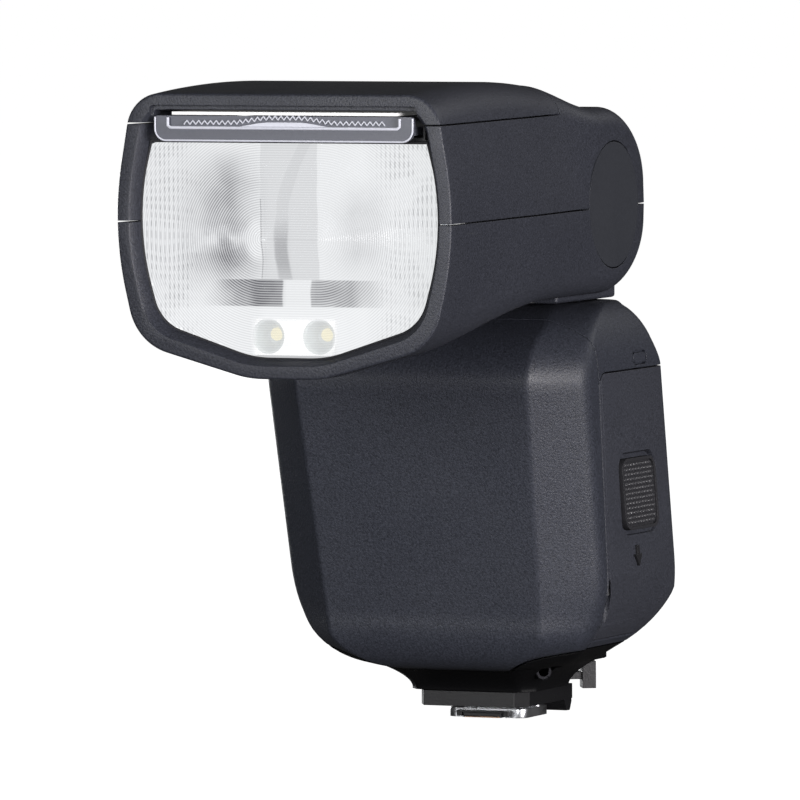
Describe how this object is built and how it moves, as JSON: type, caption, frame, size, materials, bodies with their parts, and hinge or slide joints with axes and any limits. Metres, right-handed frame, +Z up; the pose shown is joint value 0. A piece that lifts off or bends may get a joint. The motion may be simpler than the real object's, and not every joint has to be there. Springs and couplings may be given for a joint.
{
  "type": "speedlight flash",
  "caption": "Shoe-mounted camera flash with a tilting and swivelling zoom head, ribbed lens, pull-out diffuser, hinged battery door and locking foot.",
  "frame": {"origin": "centre of the foot's underside, where it rests in the camera's accessory shoe", "axes": "+Z up, -Y the way the lens faces, +X towards the battery door"},
  "size_m": [0.0776, 0.1327, 0.1426],
  "materials": {
    "body_casing": "fine-grained moulding texture, charcoal",
    "head_casing": "fine-grained moulding texture, charcoal",
    "door_plastic": "fine-grained moulding texture, slate grey",
    "collar_plastic": "smooth matte black",
    "foot_plastic": "glass-filled nylon, matte",
    "lever_plastic": "satin dark grey",
    "cap_plastic": "flat matte",
    "panel_plastic": "satin black",
    "key_plastic": "satin key tops",
    "lamp_key": "translucent amber key",
    "rubber": "matte soft rubber",
    "display_glass": "clear window",
    "display": "reflective display",
    "circuit_board": "solder-masked board",
    "capacitor_sleeve": "shrink sleeve",
    "battery_wrap": "wrapped cells",
    "inner_plastic": "plain moulding",
    "steel": "turned and plated steel",
    "shoe_steel": "stamped stainless foot",
    "spring_steel": "spring steel",
    "bearing_metal": "machined",
    "gold_contact": "gold plated",
    "copper_contact": "copper-coloured pads",
    "flex_film": "polyimide film",
    "white_plastic": "white moulding",
    "card_plastic": "opal white card",
    "frosted_plastic": "frosted diffuser",
    "lens_plastic": "clear ribbed lens",
    "reflector_metal": "bright reflector",
    "tube_glass": "quartz tube",
    "lamp_phosphor": "phosphor chips",
    "motor_metal": "drawn can",
    "brass_wheel": "pressed brass"
  },
  "bodies": {
    "body": {"foot_plate": "shoe_steel", "foot_block": "foot_plastic", "contact_tongue": "foot_plastic", "contact_pins": "copper_contact", "lock_spring": "spring_steel", "base_cover": "collar_plastic", "foot_screws": "steel", "front_shell": "body_casing", "rear_shell": "body_casing", "control_panel": "panel_plastic", "lcd_window": "display_glass", "lcd_module": "display", "control_board": "circuit_board", "sync_socket": "steel", "battery_bay": "inner_plastic", "battery_pack": "battery_wrap", "battery_contacts": "gold_contact", "main_board": "circuit_board", "main_capacitor": "capacitor_sleeve", "door_pin": "steel", "bracket_insert": "steel", "swivel_bearing": "bearing_metal"},
    "lock_ring": {"lock_lever": "lever_plastic"},
    "lock_plunger": {"lock_pin": "steel"},
    "dial": {"select_dial": "key_plastic"},
    "set_key": {"set_button": "key_plastic"},
    "menu_key": {"menu_button": "key_plastic"},
    "mode_key": {"mode_button": "key_plastic"},
    "test_key": {"test_button": "lamp_key"},
    "power_switch": {"power_lever": "key_plastic"},
    "terminal_flap": {"terminal_cover": "rubber"},
    "door_slider": {"door_hinge": "inner_plastic"},
    "door": {"battery_door": "door_plastic", "door_grip": "rubber"},
    "neck": {"neck_shell": "head_casing", "swivel_tube": "bearing_metal", "swivel_clip": "spring_steel", "flex_cable": "flex_film", "detent_ball": "steel", "detent_spring": "spring_steel"},
    "head": {"head_lower_shell": "head_casing", "head_upper_shell": "head_casing", "head_lid": "head_casing", "panel_tray": "inner_plastic", "fresnel_lens": "lens_plastic", "led_housing": "white_plastic", "led_lamps": "lamp_phosphor", "guide_rods": "steel", "zoom_motor": "motor_metal", "head_screws": "steel", "side_cap": "cap_plastic", "tilt_shafts": "bearing_metal", "detent_wheel": "brass_wheel"},
    "tilt_release": {"release_button": "cap_plastic"},
    "wide_panel_slide": {"wide_panel": "frosted_plastic"},
    "catchlight_slide": {"catchlight_card": "card_plastic"},
    "zoom": {"zoom_carriage": "white_plastic", "reflector": "reflector_metal", "flash_tube": "tube_glass"},
    "screw": {"lead_screw": "brass_wheel"}
  },
  "joints": [
    {"name": "lock_turn", "type": "hinge", "parent": "body", "child": "lock_ring", "pos_m": [0, 0, 0.0084], "axis": [0, 0, 1], "range_deg": [0, 75]},
    {"name": "lock_drop", "type": "slide", "parent": "body", "child": "lock_plunger", "axis": [0, 0, -1], "range_m": [0, 0.0015]},
    {"name": "dial_turn", "type": "hinge", "parent": "body", "child": "dial", "pos_m": [0, 0.01189, 0.03905], "axis": [0, 0.975, 0.2223], "continuous": true},
    {"name": "set_press", "type": "slide", "parent": "body", "child": "set_key", "axis": [0, -0.975, -0.2223], "range_m": [0, 0.0008], "stiffness_N_per_m": 600, "springref_m": -0.0005},
    {"name": "menu_press", "type": "slide", "parent": "body", "child": "menu_key", "axis": [0, -0.975, -0.2223], "range_m": [0, 0.0008], "stiffness_N_per_m": 600, "springref_m": -0.0005},
    {"name": "mode_press", "type": "slide", "parent": "body", "child": "mode_key", "axis": [0, -0.975, -0.2223], "range_m": [0, 0.0008], "stiffness_N_per_m": 600, "springref_m": -0.0005},
    {"name": "test_press", "type": "slide", "parent": "body", "child": "test_key", "axis": [0, -0.975, -0.2223], "range_m": [0, 0.0008], "stiffness_N_per_m": 600, "springref_m": -0.0005},
    {"name": "power_turn", "type": "hinge", "parent": "body", "child": "power_switch", "pos_m": [-0.019, 0.01323, 0.0332], "axis": [0, 0.975, 0.2223], "range_deg": [-40, 40]},
    {"name": "terminal_open", "type": "hinge", "parent": "body", "child": "terminal_flap", "pos_m": [-0.03715, -0.01825, 0.064], "axis": [0, 0, 1], "range_deg": [0, 100]},
    {"name": "door_slide", "type": "slide", "parent": "body", "child": "door_slider", "axis": [-0.0224, 0.1541, -0.9878], "range_m": [0, 0.0035]},
    {"name": "door_swing", "type": "hinge", "parent": "door_slider", "child": "door", "pos_m": [0.0365, -0.02974, 0.05], "axis": [-0.0224, 0.1541, -0.9878], "range_deg": [0, 95]},
    {"name": "head_swivel", "type": "hinge", "parent": "body", "child": "neck", "pos_m": [0, -0.0184, 0.09], "axis": [0, 0, 1], "range_deg": [-180, 180]},
    {"name": "head_tilt", "type": "hinge", "parent": "neck", "child": "head", "pos_m": [0, -0.0184, 0.1142], "axis": [-1, 0, 0], "range_deg": [-2, 120]},
    {"name": "release_press", "type": "slide", "parent": "head", "child": "tilt_release", "axis": [1, 0, 0], "range_m": [0, 0.001], "stiffness_N_per_m": 800, "springref_m": -0.0005},
    {"name": "panel_pull", "type": "slide", "parent": "head", "child": "wide_panel_slide", "axis": [0, -1, 0], "range_m": [0, 0.036]},
    {"name": "card_pull", "type": "slide", "parent": "head", "child": "catchlight_slide", "axis": [0, -1, 0], "range_m": [0, 0.033]},
    {"name": "zoom_travel", "type": "slide", "parent": "head", "child": "zoom", "axis": [0, 1, 0], "range_m": [0, 0.02]},
    {"name": "screw_turn", "type": "hinge", "parent": "head", "child": "screw", "pos_m": [-0.0314, -0.085, 0.121], "axis": [0, 1, 0], "range_deg": [0, 2881]}
  ],
  "couplings": [
    {"joint": "lock_turn", "follows": "lock_drop", "rad_per_m": 872.6},
    {"joint": "screw_turn", "follows": "zoom_travel", "rad_per_m": 2513.3}
  ]
}
